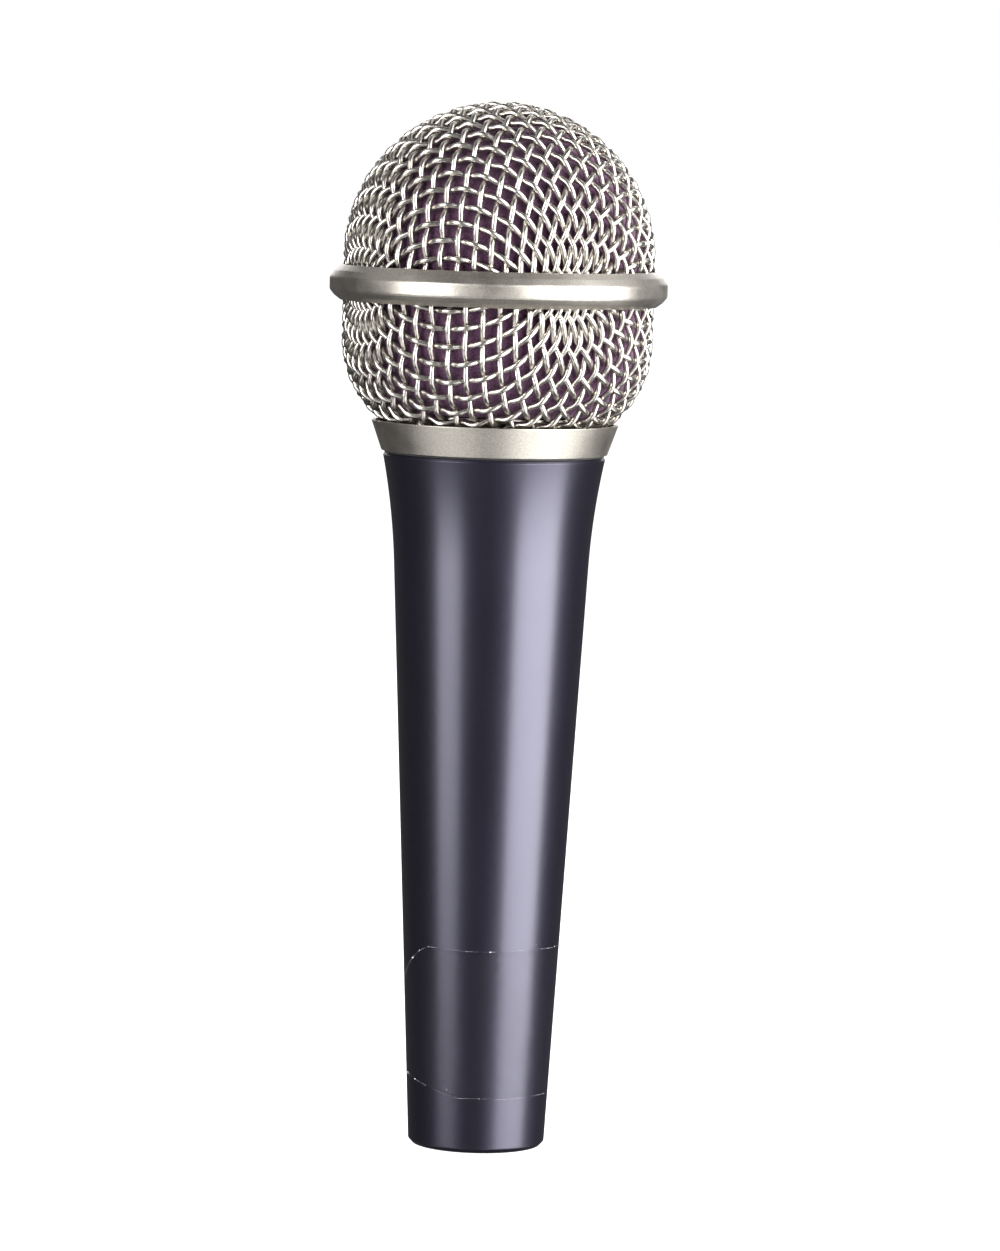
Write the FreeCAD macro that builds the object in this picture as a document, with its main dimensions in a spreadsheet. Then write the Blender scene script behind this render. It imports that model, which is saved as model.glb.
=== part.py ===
import FreeCAD, Part
import math
import os
import re

import Sketcher

# Handheld dynamic vocal microphone, in millimetres. The origin is the centre of the tail face and +Z is
# the long axis, from the connector in the tail up to the ball grille. The driving dimensions are in the
# spreadsheet. Every outline is worked out from them and bound to them.

VECTOR = FreeCAD.Vector

DIMENSIONS = {
    # handle: a tapered die-cast tube that flares under the collar
    "tail_radius": 10.88,
    "tail_round": 0.7,
    "handle_taper": 0.0497,
    "cone_height": 93.0,
    "flare_radius": 115.0,
    "flare_top": 110.4,
    "flare_growth": 2.18,
    "shoulder_height": 110.9,
    "shoulder_bevel": 0.3,
    "neck_radius": 15.6,
    "neck_top": 115.2,
    "neck_bore": 13.9,
    "neck_ledge": 100.0,
    "cavity_top_radius": 12.9,
    "cavity_foot_radius": 9.4,
    "cavity_foot": 24.0,
    "small_bevel": 0.3,
    # three-pin connector in the tail
    "socket_radius": 8.15,
    "socket_mouth": 0.45,
    "latch_low": 3.0,
    "latch_high": 5.0,
    "latch_radius": 8.75,
    "insert_face": 14.5,
    "insert_back": 20.5,
    "insert_stop": 7.2,
    "insert_boss": 1.0,
    "boss_step": 0.6,
    "fit_gap": 0.05,
    "touch_gap": 0.02,
    "pin_radius": 1.19,
    "pin_circle": 4.5,
    "pin_tip": 3.2,
    "pin_shank": 1.6,
    "pin_collar": 2.0,
    "collar_depth": 0.5,
    "cup_radius": 1.3,
    "cup_bore": 0.85,
    "cup_depth": 2.4,
    "cup_top": 25.2,
    "lock_height": 17.5,
    "lock_radius": 1.25,
    "lock_inner": 6.4,
    "lock_length": 4.6,
    "slot_width": 0.5,
    "slot_depth": 0.8,
    "strip_thickness": 0.3,
    "strip_width": 2.2,
    "strip_rise": 4.0,
    "strip_gap": 0.1,
    # strip of clear tape round the tail
    "tape_low": 9.6,
    "tape_high": 31.6,
    "tape_gap": 0.02,
    "tape_thickness": 0.09,
    # head: collar, band and mesh
    "collar_foot": 111.2,
    "collar_foot_radius": 18.0,
    "collar_top": 116.0,
    "collar_top_radius": 19.75,
    "collar_bore": 15.95,
    "collar_lip": 18.9,
    "collar_seat": 114.65,
    "gasket_inner": 16.2,
    "gasket_outer": 17.5,
    "band_foot": 134.9,
    "band_flat_low": 136.5,
    "band_flat_high": 138.5,
    "band_top": 140.5,
    "band_radius": 26.85,
    "band_inner": 24.85,
    "band_round": 0.6,
    "hoop_outer": 23.28,
    "hoop_inner": 22.88,
    "mesh_radius": 24.8,
    "mesh_sheet": 0.5,
    "dome_centre": 142.1,
    "mesh_joint": 137.7,
    "cup_centre": 129.0,
    "cup_arc": 17.0,
    "cup_cut_angle": 56.8,
    "clamp_inner": 15.7,
    "foam_outer": 22.8,
    "foam_thickness": 3.8,
    "foam_foot": 117.5,
    "foam_mouth": 15.8,
    "disc_radius": 18.5,
    "disc_foot": 131.2,
    "disc_thickness": 3.0,
    # capsule and its rubber suspension
    "carrier_bore": 12.6,
    "carrier_flange": 15.3,
    "carrier_top": 116.6,
    "mount_height": 3.2,
    "mount_web": 0.8,
    "mount_wall": 0.65,
    "upper_mount_foot": 113.2,
    "lower_mount_foot": 102.5,
    "barrel_radius": 10.4,
    "barrel_bore": 9.6,
    "barrel_foot": 101.5,
    "capsule_foot": 118.2,
    "capsule_radius": 14.5,
    "capsule_rim": 125.9,
    "port_circle": 12.75,
    "port_radius": 0.7,
    "ring_seat": 123.3,
    "plate_seat": 120.35,
    "plate_radius": 11.85,
    "plate_top": 122.4,
    "yoke_radius": 9.5,
    "yoke_foot": 113.0,
    "yoke_floor": 2.0,
    "yoke_wall": 1.2,
    "magnet_radius": 6.0,
    "pole_radius": 6.3,
    "gap_outer": 7.9,
    "coil_inner": 6.75,
    "coil_outer": 7.35,
    "coil_foot": 119.9,
    "film_height": 124.1,
    "film_thickness": 0.12,
    "dome_rise": 2.0,
    "roll_outer": 12.1,
    "roll_rise": 1.0,
    "film_edge": 13.5,
    "cap_top": 129.8,
    "cap_plate": 1.2,
    "cap_bore": 12.3,
    "cap_skirt": 13.7,
    "cap_hole": 1.3,
    "inner_circle": 4.4,
    "outer_circle": 8.9,
    "board_foot": 101.6,
    "board_thickness": 1.2,
    "tag_foot": 99.2,
    "tag_place": 4.0,
    "tag_thickness": 0.4,
    "tag_width": 1.8,
    "wire_radius": 0.55,
}

doc = FreeCAD.newDocument("Microphone")
sheet = doc.addObject("Spreadsheet::Sheet", "Dims")
for row, (alias, size) in enumerate(DIMENSIONS.items(), start=1):
    sheet.set(f"A{row}", alias)
    sheet.set(f"B{row}", str(size))
    sheet.setAlias(f"B{row}", alias)
doc.recompute()

subparts = []


def bound(text):
    """The expression with each dimension's name pointing at its spreadsheet cell."""
    return re.sub(r"[a-z_]+", lambda w: "Dims." + w.group() if w.group() in DIMENSIONS else w.group(), text)


def value(text):
    """The number that an expression gives now."""
    return float(sheet.evalExpression(bound(text)))


def new_body(label):
    """An empty body whose label names its sub-part."""
    body = doc.addObject("PartDesign::Body", label)
    body.Label = label
    subparts.append(body)
    return body


def origin_feature(body, role):
    """One of the body's own origin planes or axes."""
    return next(o for o in body.Origin.OriginFeatures if o.Role == role)


def new_sketch(body, name, role="XZ_Plane", height="0"):
    """A sketch on one of the body's origin planes, lifted off it by height."""
    sketch = body.newObject("Sketcher::SketchObject", name)
    sketch.AttachmentSupport = [(origin_feature(body, role), "")]
    sketch.MapMode = "FlatFace"
    sketch.AttachmentOffset = FreeCAD.Placement(VECTOR(0, 0, value(height)), FreeCAD.Rotation())
    if height != "0":
        sketch.setExpression("AttachmentOffset.Base.z", bound(height))
    return sketch


def pin_point(sketch, edge, end, across, up):
    """Holds one end of an edge at (across, up) from the sketch's origin."""
    for kind, text, axis in (("DistanceX", across, -2), ("DistanceY", up, -1)):
        size = value(text)
        if abs(size) < 1e-9:
            sketch.addConstraint(Sketcher.Constraint("PointOnObject", edge, end, axis))
        else:
            index = sketch.addConstraint(Sketcher.Constraint(kind, -1, 1, edge, end, size))
            sketch.setExpression(f"Constraints[{index}]", bound(text))


def arc_between(start, end, turn):
    """An arc from start to end whose signed radius is turn: positive runs counterclockwise."""
    chord = end - start
    left = VECTOR(-chord.y, chord.x, 0).normalize()
    reach = math.sqrt(max(turn * turn - chord.Length ** 2 / 4, 0))
    centre = (start + end) * 0.5 + left * math.copysign(reach, turn)
    first, last = (start, end) if turn > 0 else (end, start)
    angles = [math.atan2(p.y - centre.y, p.x - centre.x) for p in (first, last)]
    if angles[1] < angles[0]:
        angles[1] += 2 * math.pi
    return Part.ArcOfCircle(Part.Circle(centre, VECTOR(0, 0, 1), abs(turn)), *angles)


def outline(sketch, corners):
    """A closed outline. A corner is (across, up), or (across, up, turn) where an arc of signed radius turn
    leads to the next corner."""
    points = [VECTOR(value(c[0]), value(c[1]), 0) for c in corners]
    following = points[1:] + points[:1]
    for corner, start, end in zip(corners, points, following):
        if len(corner) == 3:
            sketch.addGeometry(arc_between(start, end, value(corner[2])))
        else:
            sketch.addGeometry(Part.LineSegment(start, end))
    backward = [len(c) == 3 and value(c[2]) < 0 for c in corners]
    for edge, corner in enumerate(corners):
        after = (edge + 1) % len(corners)
        leave, meet = (1 if backward[edge] else 2), (2 if backward[after] else 1)
        sketch.addConstraint(Sketcher.Constraint("Coincident", edge, leave, after, meet))
        pin_point(sketch, edge, 2 if backward[edge] else 1, corner[0], corner[1])
        if len(corner) == 3:
            index = sketch.addConstraint(Sketcher.Constraint("Radius", edge, abs(value(corner[2]))))
            sketch.setExpression(f"Constraints[{index}]", bound(f"abs({corner[2]})"))


def turned(label, corners):
    """A body turned about Z from an outline of (radius, height) corners."""
    body = new_body(label)
    sketch = new_sketch(body, label + "_outline")
    outline(sketch, corners)
    turning = body.newObject("PartDesign::Revolution", label + "_turning")
    turning.Profile = sketch
    turning.ReferenceAxis = (sketch, ["V_Axis"])
    turning.Angle = 360
    sketch.Visibility = False
    doc.recompute()
    return body


def ring(label, inner, outer, low, high):
    """A body of rectangular section, turned about Z."""
    return turned(label, [(inner, low), (outer, low), (outer, high), (inner, high)])


def cut_holes(body, name, circles, start, depth, role="XY_Plane"):
    """A pocket of round holes, each (across, up, radius). It starts at height start over the plane and runs
    against the plane's normal."""
    before = body.Shape.Volume
    sketch = new_sketch(body, name + "_centres", role, start)
    for index, (across, up, radius) in enumerate(circles):
        place = VECTOR(value(across), value(up), 0)
        sketch.addGeometry(Part.Circle(place, VECTOR(0, 0, 1), value(radius)))
        pin_point(sketch, index, 3, across, up)
        size = sketch.addConstraint(Sketcher.Constraint("Radius", index, value(radius)))
        sketch.setExpression(f"Constraints[{size}]", bound(radius))
    pocket = body.newObject("PartDesign::Pocket", name)
    pocket.Profile = sketch
    pocket.setExpression("Length", bound(depth))
    sketch.Visibility = False
    doc.recompute()
    if body.Shape.Volume > before - 1e-6:
        raise RuntimeError(f"{name} cuts nothing out of {body.Label}")
    return pocket


def repeat_round(body, feature, count):
    """Repeats a feature evenly about Z."""
    before = body.Shape.Volume
    pattern = body.newObject("PartDesign::PolarPattern", feature.Name + "_round")
    pattern.Originals = [feature]
    pattern.Axis = (origin_feature(body, "Z_Axis"), [""])
    pattern.Angle = 360
    pattern.Occurrences = count
    body.Tip = pattern
    doc.recompute()
    if body.Shape.Volume > before - 1e-6:
        raise RuntimeError(f"{feature.Name} isn't repeated")


def round_edges(body, name, radius, chosen):
    """Fillets the edges of the body's tip that the function chosen picks."""
    names = [f"Edge{i}" for i, edge in enumerate(body.Shape.Edges, start=1) if chosen(edge)]
    base = body.Tip
    fillet = body.newObject("PartDesign::Fillet", name)
    fillet.Base = (base, names)
    fillet.setExpression("Radius", bound(radius))
    body.Tip = fillet
    doc.recompute()


def place(body, base, axis=(0, 0, 1), angle=0.0):
    """Moves a body to base, three expressions, after turning it about axis."""
    spot = VECTOR(*[value(text) for text in base])
    body.Placement = FreeCAD.Placement(spot, FreeCAD.Rotation(VECTOR(*axis), angle))
    for letter, text in zip("xyz", base):
        body.setExpression(f".Placement.Base.{letter}", bound(text))


# ---------------------------------------------------------------- handle


def handle_shell():
    """The tapered tube: threaded neck, flare, cone, and a socket with a latch groove at the tail."""
    cone_top = "(tail_radius + handle_taper * cone_height)"
    flare_edge = f"({cone_top} + flare_growth)"
    bevel = "shoulder_bevel"
    body = turned("handle_shell", [
        ("socket_radius + socket_mouth", "0"),
        ("tail_radius - tail_round", "0", "tail_round"),
        ("tail_radius + handle_taper * tail_round", "tail_round"),
        (cone_top, "cone_height", "-flare_radius"),
        (flare_edge, "flare_top"),
        (f"{flare_edge} - {bevel}", "shoulder_height"),
        ("neck_radius", "shoulder_height"),
        ("neck_radius", "neck_top - small_bevel"),
        ("neck_radius - small_bevel", "neck_top"),
        ("neck_bore", "neck_top"),
        ("neck_bore", "neck_ledge"),
        ("cavity_top_radius", "neck_ledge"),
        ("cavity_foot_radius", "cavity_foot"),
        ("insert_stop", "insert_back + 2"),
        ("insert_stop", "insert_back"),
        ("socket_radius", "insert_back"),
        ("socket_radius", "latch_high"),
        ("latch_radius", "latch_high"),
        ("latch_radius", "latch_low"),
        ("socket_radius", "latch_low"),
        ("socket_radius", "socket_mouth"),
    ])
    cut_holes(body, "lock_hole", [("0", "lock_height", "lock_radius + fit_gap")], "0", "2 * tail_radius",
              "XZ_Plane")


def connector_insert():
    """The moulded disc that holds the three contacts and takes the locking screw's tip."""
    radius = "socket_radius - fit_gap"
    body = turned("connector_insert", [
        ("0", "insert_face"),
        (f"{radius} - small_bevel", "insert_face"),
        (radius, "insert_face + small_bevel"),
        (radius, "insert_back - fit_gap"),
        ("insert_stop - boss_step", "insert_back - fit_gap"),
        ("insert_stop - boss_step", "insert_back + insert_boss"),
        ("0", "insert_back + insert_boss"),
    ])
    through = cut_holes(body, "pin_hole", [("0", "-pin_circle", "pin_shank + touch_gap")], "insert_back + insert_boss", "8")
    repeat_round(body, through, 3)
    cut_holes(body, "lock_pocket", [("0", "lock_height", "lock_radius + fit_gap")], "-lock_inner + fit_gap",
              "4", "XZ_Plane")


def contact_pin(number, angle):
    """A turned contact: rounded tip, a thicker shank in the insert, and a solder cup behind it."""
    body = turned(f"contact_pin_{number}", [
        ("0", "pin_tip", "pin_radius"),
        ("pin_radius", "pin_tip + pin_radius"),
        ("pin_radius", "insert_face"),
        ("pin_shank", "insert_face"),
        ("pin_shank", "insert_back + insert_boss + touch_gap"),
        ("pin_collar", "insert_back + insert_boss + touch_gap"),
        ("pin_collar", "insert_back + insert_boss + collar_depth"),
        ("cup_radius", "insert_back + insert_boss + collar_depth"),
        ("cup_radius", "cup_top"),
        ("cup_bore", "cup_top"),
        ("cup_bore", "cup_top - cup_depth"),
        ("0", "cup_top - cup_depth"),
    ])
    place(body, (f"pin_circle * cos({angle} deg)", f"pin_circle * sin({angle} deg)", "0"))


def connector_screw():
    """The slotted grub screw behind the tail that locks the insert into the handle."""
    body = turned("connector_screw", [
        ("0", "0"),
        ("lock_radius - small_bevel", "0"),
        ("lock_radius", "small_bevel"),
        ("lock_radius", "lock_length - small_bevel"),
        ("lock_radius - small_bevel", "lock_length"),
        ("0", "lock_length"),
    ])
    before = body.Shape.Volume
    slot = body.newObject("PartDesign::SubtractiveBox", "screw_slot")
    slot.setExpression("Length", bound("slot_width"))
    slot.setExpression("Width", bound("4 * lock_radius"))
    slot.setExpression("Height", bound("slot_depth"))
    corner = ("-slot_width / 2", "-2 * lock_radius", "lock_length - slot_depth")
    slot.Placement.Base = VECTOR(*[value(text) for text in corner])
    body.Tip = slot
    doc.recompute()
    if body.Shape.Volume > before - 1e-6:
        raise RuntimeError("the screw has no slot")
    place(body, ("0", "lock_inner", "lock_height"), (1, 0, 0), -90)


def ground_clip():
    """A bent spring strip from the first contact's cup to the wall of the handle."""
    body = new_body("ground_clip")
    sketch = new_sketch(body, "clip_outline")
    near, far = "pin_circle + cup_radius + touch_gap", "cavity_foot_radius - strip_gap"
    foot = "cavity_foot + strip_gap"
    outline(sketch, [
        (near, foot),
        (far, foot),
        (far, "cavity_foot + strip_rise"),
        (f"{far} - strip_thickness", "cavity_foot + strip_rise"),
        (f"{far} - strip_thickness", f"{foot} + strip_thickness"),
        (near, f"{foot} + strip_thickness"),
    ])
    pad = body.newObject("PartDesign::Pad", "clip_strip")
    pad.Profile = sketch
    pad.Midplane = True
    pad.setExpression("Length", bound("strip_width"))
    sketch.Visibility = False
    doc.recompute()
    place(body, ("0", "0", "0"), (0, 0, 1), 30)


def clear_tape():
    """The strip of clear tape round the cone of the handle, just above the tail."""
    low = "(tail_radius + handle_taper * tape_low + tape_gap)"
    high = "(tail_radius + handle_taper * tape_high + tape_gap)"
    turned("clear_tape", [
        (low, "tape_low"),
        (f"{low} + tape_thickness", "tape_low"),
        (f"{high} + tape_thickness", "tape_high"),
        (high, "tape_high"),
    ])


def carrier_sleeve():
    """The plastic sleeve in the neck that carries both rubber mounts, with a flange on the neck's top."""
    turned("carrier_sleeve", [
        ("carrier_bore", "neck_ledge + fit_gap"),
        ("neck_bore - fit_gap", "neck_ledge + fit_gap"),
        ("neck_bore - fit_gap", "neck_top + fit_gap"),
        ("carrier_flange", "neck_top + fit_gap"),
        ("carrier_flange", "carrier_top - small_bevel"),
        ("carrier_flange - small_bevel", "carrier_top"),
        ("carrier_bore", "carrier_top"),
    ])


def shock_mount(label, foot):
    """A rubber ring of H section: two sleeves joined by a thin web that flexes."""
    inner = "barrel_radius + fit_gap"
    outer = "carrier_bore - fit_gap"
    web_low = f"{foot} + (mount_height - mount_web) / 2"
    web_high = f"{foot} + (mount_height + mount_web) / 2"
    turned(label, [
        (inner, foot),
        (f"{inner} + mount_wall", foot),
        (f"{inner} + mount_wall", web_low),
        (f"{outer} - mount_wall", web_low),
        (f"{outer} - mount_wall", foot),
        (outer, foot),
        (outer, f"{foot} + mount_height"),
        (f"{outer} - mount_wall", f"{foot} + mount_height"),
        (f"{outer} - mount_wall", web_high),
        (f"{inner} + mount_wall", web_high),
        (f"{inner} + mount_wall", f"{foot} + mount_height"),
        (inner, f"{foot} + mount_height"),
    ])


def rounded_route(points):
    """Straight runs joined by tangent arcs, each as large as its two runs allow."""
    edges, start = [], points[0]
    for before, corner, after in zip(points, points[1:], points[2:]):
        into, out = corner - before, after - corner
        shorter = min(into.Length, out.Length)
        turn = into.getAngle(out)
        into, out = into.normalize(), out.normalize()
        cut = 0.45 * shorter
        radius = cut / math.tan(turn / 2)
        first, last = corner - into * cut, corner + out * cut
        bisector = (out - into).normalize()
        middle = corner + bisector * (radius / math.cos(turn / 2) - radius)
        edges += [Part.LineSegment(start, first).toShape(), Part.Arc(first, middle, last).toShape()]
        start = last
    edges.append(Part.LineSegment(start, points[-1]).toShape())
    return Part.Wire(edges)


def lead_wire(label, cup_angle, tag_side, middle):
    """An insulated lead from a solder tag of the capsule down to a contact's cup."""
    tag = value("tag_place") * tag_side
    cup = VECTOR(value("pin_circle"), 0, 0)
    cup = FreeCAD.Rotation(VECTOR(0, 0, 1), cup_angle).multVec(cup)
    top, foot = value("tag_foot - touch_gap"), value("cup_top + touch_gap")
    points = [VECTOR(tag, 0, top), VECTOR(tag, 0, top - 9)]
    points += [VECTOR(*point) for point in middle]
    points += [VECTOR(cup.x, cup.y, foot + 9), VECTOR(cup.x, cup.y, foot)]
    route = rounded_route(points)
    radius = value("wire_radius")
    circle = Part.Wire([Part.Circle(points[0], VECTOR(0, 0, -1), radius).toShape()])
    solid = route.makePipeShell([circle], True, False)
    wire = doc.addObject("Part::Feature", label)
    wire.Label = label
    wire.Shape = solid
    subparts.append(wire)
    share = solid.Volume / (math.pi * radius ** 2 * route.Length)
    if abs(share - 1) > 0.01:
        raise RuntimeError(f"{label} has {share:.3f} of its volume")


# ---------------------------------------------------------------- head


def grille_collar():
    """The conical collar that screws onto the neck and holds the mesh in a seat under its lip."""
    slope = "(collar_top_radius - collar_foot_radius) / (collar_top - collar_foot)"
    turned("grille_collar", [
        ("collar_bore", "collar_foot"),
        ("collar_foot_radius - 0.15", "collar_foot"),
        (f"collar_foot_radius + 0.15 * {slope}", "collar_foot + 0.15"),
        (f"collar_top_radius - 0.15 * {slope}", "collar_top - 0.15"),
        ("collar_top_radius - 0.2", "collar_top"),
        ("collar_lip", "collar_top"),
        ("collar_lip", "collar_seat + 0.55"),
        ("collar_lip - 0.55", "collar_seat"),
        ("collar_bore", "collar_seat"),
    ])


def grille_band():
    """The hoop round the widest part of the ball: a flat belt between two bevels."""
    body = turned("grille_band", [
        ("band_inner", "band_foot"),
        ("band_inner + 0.3", "band_foot"),
        ("band_radius", "band_flat_low"),
        ("band_radius", "band_flat_high"),
        ("band_inner + 0.15", "band_top"),
        ("band_inner", "band_top"),
    ])
    widest = value("band_radius") - 0.01
    round_edges(body, "band_rounding", "band_round",
                lambda e: e.BoundBox.XMax > widest and e.BoundBox.ZLength < 0.01)


def grille_upper_mesh():
    """The domed half of the woven mesh, as a sheet at the weave's outer surface."""
    inner = "(mesh_radius - mesh_sheet)"
    turned("grille_upper_mesh", [
        ("0", f"dome_centre + {inner}", f"-{inner}"),
        (inner, "dome_centre"),
        (inner, "mesh_joint + 0.1"),
        ("mesh_radius", "mesh_joint + 0.1"),
        ("mesh_radius", "dome_centre", "mesh_radius"),
        ("0", "dome_centre + mesh_radius"),
    ])


def grille_lower_mesh():
    """The cup-shaped half of the woven mesh, cut square to its surface at the collar."""
    arc_centre = "(mesh_radius - cup_arc)"
    inner_arc = "(cup_arc - mesh_sheet)"
    turned("grille_lower_mesh", [
        ("mesh_radius - mesh_sheet", "mesh_joint - 0.1"),
        ("mesh_radius - mesh_sheet", "cup_centre", f"-{inner_arc}"),
        (f"{arc_centre} + {inner_arc} * cos(cup_cut_angle * 1 deg)",
         f"cup_centre - {inner_arc} * sin(cup_cut_angle * 1 deg)"),
        (f"{arc_centre} + cup_arc * cos(cup_cut_angle * 1 deg)",
         "cup_centre - cup_arc * sin(cup_cut_angle * 1 deg)", "cup_arc"),
        ("mesh_radius", "cup_centre"),
        ("mesh_radius", "mesh_joint - 0.1"),
    ])


def mesh_clamp_ring():
    """The angled ring that presses the mesh's lower edge into the collar's seat from inside."""
    turned("mesh_clamp_ring", [
        ("clamp_inner", "collar_seat + 0.05"),
        ("clamp_inner + 0.35", "collar_seat + 0.05"),
        ("clamp_inner + 0.35", "collar_seat + 1.1"),
        ("clamp_inner + 1.5", "collar_seat + 2.3"),
        ("clamp_inner + 1.5", "collar_seat + 2.65"),
        ("clamp_inner + 1.1", "collar_seat + 2.65"),
        ("clamp_inner", "collar_seat + 1.5"),
    ])


def foam_windscreen():
    """The foam liner that fills the inside of both mesh halves, open at the neck."""
    inner = "(foam_outer - foam_thickness)"
    arc_centre = "(mesh_radius - cup_arc)"
    outer_arc = f"(foam_outer - {arc_centre})"
    inner_arc = f"({inner} - {arc_centre})"
    turned("foam_windscreen", [
        ("0", f"dome_centre + {inner}", f"-{inner}"),
        (inner, "dome_centre"),
        (inner, "cup_centre", f"-{inner_arc}"),
        ("foam_mouth", f"cup_centre - sqrt({inner_arc} ^ 2 - (foam_mouth - {arc_centre}) ^ 2)"),
        ("foam_mouth", "foam_foot"),
        (f"{arc_centre} + sqrt({outer_arc} ^ 2 - (cup_centre - foam_foot) ^ 2)", "foam_foot", outer_arc),
        ("foam_outer", "cup_centre"),
        ("foam_outer", "dome_centre", "foam_outer"),
        ("0", "dome_centre + foam_outer"),
    ])


# ---------------------------------------------------------------- capsule


def capsule_housing():
    """The plastic body of the capsule: a barrel below, a wide head with rear ports above."""
    body = turned("capsule_housing", [
        ("barrel_bore", "barrel_foot"),
        ("barrel_radius", "barrel_foot"),
        ("barrel_radius", "capsule_foot - 0.8"),
        ("barrel_radius + 0.6", "capsule_foot"),
        ("capsule_radius - small_bevel", "capsule_foot"),
        ("capsule_radius", "capsule_foot + small_bevel"),
        ("capsule_radius", "capsule_rim"),
        ("cap_skirt + fit_gap", "capsule_rim"),
        ("cap_skirt + fit_gap", "ring_seat"),
        ("plate_radius + fit_gap", "ring_seat"),
        ("plate_radius + fit_gap", "plate_seat"),
        ("barrel_bore", "plate_seat"),
    ])
    port = cut_holes(body, "rear_port", [("port_circle", "0", "port_radius")], "ring_seat",
                     "ring_seat - capsule_foot + 1")
    repeat_round(body, port, 12)


def motor():
    """The magnet assembly: a steel cup, the magnet, and two poles that leave a ring-shaped gap."""
    turned("yoke", [
        ("0", "yoke_foot"),
        ("yoke_radius - small_bevel", "yoke_foot"),
        ("yoke_radius", "yoke_foot + small_bevel"),
        ("yoke_radius", "plate_seat"),
        ("yoke_radius - yoke_wall", "plate_seat"),
        ("yoke_radius - yoke_wall", "yoke_foot + yoke_floor"),
        ("0", "yoke_foot + yoke_floor"),
    ])
    ring("magnet", "0", "magnet_radius", "yoke_foot + yoke_floor + 0.01", "plate_seat - 0.16")
    ring("pole_piece", "0", "pole_radius", "plate_seat - 0.15", "plate_top")
    ring("top_plate", "gap_outer", "plate_radius", "plate_seat + 0.01", "plate_top")
    ring("damping_felt", "gap_outer + 0.3", "plate_radius - 0.3", "plate_top + 0.01", "plate_top + 0.5")


def moving_film():
    """The dome of the diaphragm, and the voice coil that hangs from it in the gap."""
    ring("voice_coil", "coil_inner", "coil_outer", "coil_foot", "film_height - 0.01")
    sphere = "((coil_outer ^ 2 + dome_rise ^ 2) / (2 * dome_rise))"
    turned("diaphragm", [
        ("0", "film_height + dome_rise", f"-{sphere}"),
        ("coil_outer", "film_height"),
        ("coil_outer + 0.15", "film_height"),
        ("coil_outer + 0.15", "film_height + film_thickness"),
        ("coil_outer", "film_height + film_thickness", sphere),
        ("0", "film_height + dome_rise + film_thickness"),
    ])


def surround():
    """The rolled edge that lets the dome move, and the ring that it is glued to."""
    start = "(coil_outer + 0.2)"
    half = f"((roll_outer - {start}) / 2)"
    roll = f"(({half} ^ 2 + roll_rise ^ 2) / (2 * roll_rise))"
    turned("diaphragm_surround", [
        (start, "film_height", f"-{roll}"),
        ("roll_outer", "film_height"),
        ("film_edge", "film_height"),
        ("film_edge", "film_height + film_thickness"),
        ("roll_outer", "film_height + film_thickness", roll),
        (start, "film_height + film_thickness"),
    ])
    ring("diaphragm_ring", "roll_outer + 0.1", "cap_skirt", "ring_seat + 0.01", "film_height - 0.01")


def protective_cap():
    """The perforated cap over the diaphragm, with the cloth screen behind its holes."""
    body = turned("protective_cap", [
        ("0", "cap_top - cap_plate"),
        ("cap_bore", "cap_top - cap_plate"),
        ("cap_bore", "film_height + film_thickness + 0.05"),
        ("cap_skirt", "film_height + film_thickness + 0.05"),
        ("cap_skirt", "capsule_rim + fit_gap"),
        ("capsule_radius", "capsule_rim + fit_gap"),
        ("capsule_radius", "cap_top - 0.8"),
        ("capsule_radius - 0.8", "cap_top"),
        ("0", "cap_top"),
    ])
    cut_holes(body, "centre_hole", [("0", "0", "cap_hole")], "cap_top", "cap_plate + 0.1")
    inner = cut_holes(body, "inner_hole", [("inner_circle", "0", "cap_hole")], "cap_top", "cap_plate + 0.1")
    repeat_round(body, inner, 6)
    outer = cut_holes(body, "outer_hole", [("outer_circle", "0", "cap_hole")], "cap_top", "cap_plate + 0.1")
    repeat_round(body, outer, 12)
    ring("cap_screen", "0", "cap_bore - fit_gap", "cap_top - cap_plate - 0.3",
         "cap_top - cap_plate - touch_gap")
    ring("rear_port_screen", "barrel_radius + 0.9", "capsule_radius - 0.6", "capsule_foot - 0.22",
         "capsule_foot - touch_gap")


def terminals():
    """The board that closes the barrel, and its two brass solder tags."""
    ring("terminal_board", "0", "barrel_bore - fit_gap", "board_foot", "board_foot + board_thickness")
    tags = []
    for name, side in (("tag_left", -1), ("tag_right", 1)):
        tag = doc.addObject("Part::Box", name)
        tag.setExpression("Length", bound("tag_thickness"))
        tag.setExpression("Width", bound("tag_width"))
        tag.setExpression("Height", bound("board_foot - tag_foot - touch_gap"))
        tag.setExpression(".Placement.Base.x", bound(f"{side} * tag_place - tag_thickness / 2"))
        tag.setExpression(".Placement.Base.y", bound("-tag_width / 2"))
        tag.setExpression(".Placement.Base.z", bound("tag_foot"))
        tags.append(tag)
    pair = doc.addObject("Part::Compound", "solder_tags")
    pair.Label = "solder_tags"
    pair.Links = tags
    subparts.append(pair)


# ---------------------------------------------------------------- assembly

handle_shell()
connector_insert()
for number, angle in ((1, 30), (2, 150), (3, 270)):
    contact_pin(number, angle)
connector_screw()
ground_clip()
clear_tape()
carrier_sleeve()
shock_mount("shock_mount_upper", "upper_mount_foot")
shock_mount("shock_mount_lower", "lower_mount_foot")
lead_wire("lead_wire_hot", 150, -1, [(-2.6, 1.8, 77), (-5.0, -0.8, 62), (-2.4, -1.4, 47)])
lead_wire("lead_wire_cold", 270, 1, [(2.4, -2.4, 78), (5.2, 0.6, 63), (3.4, 1.8, 48)])

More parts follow.
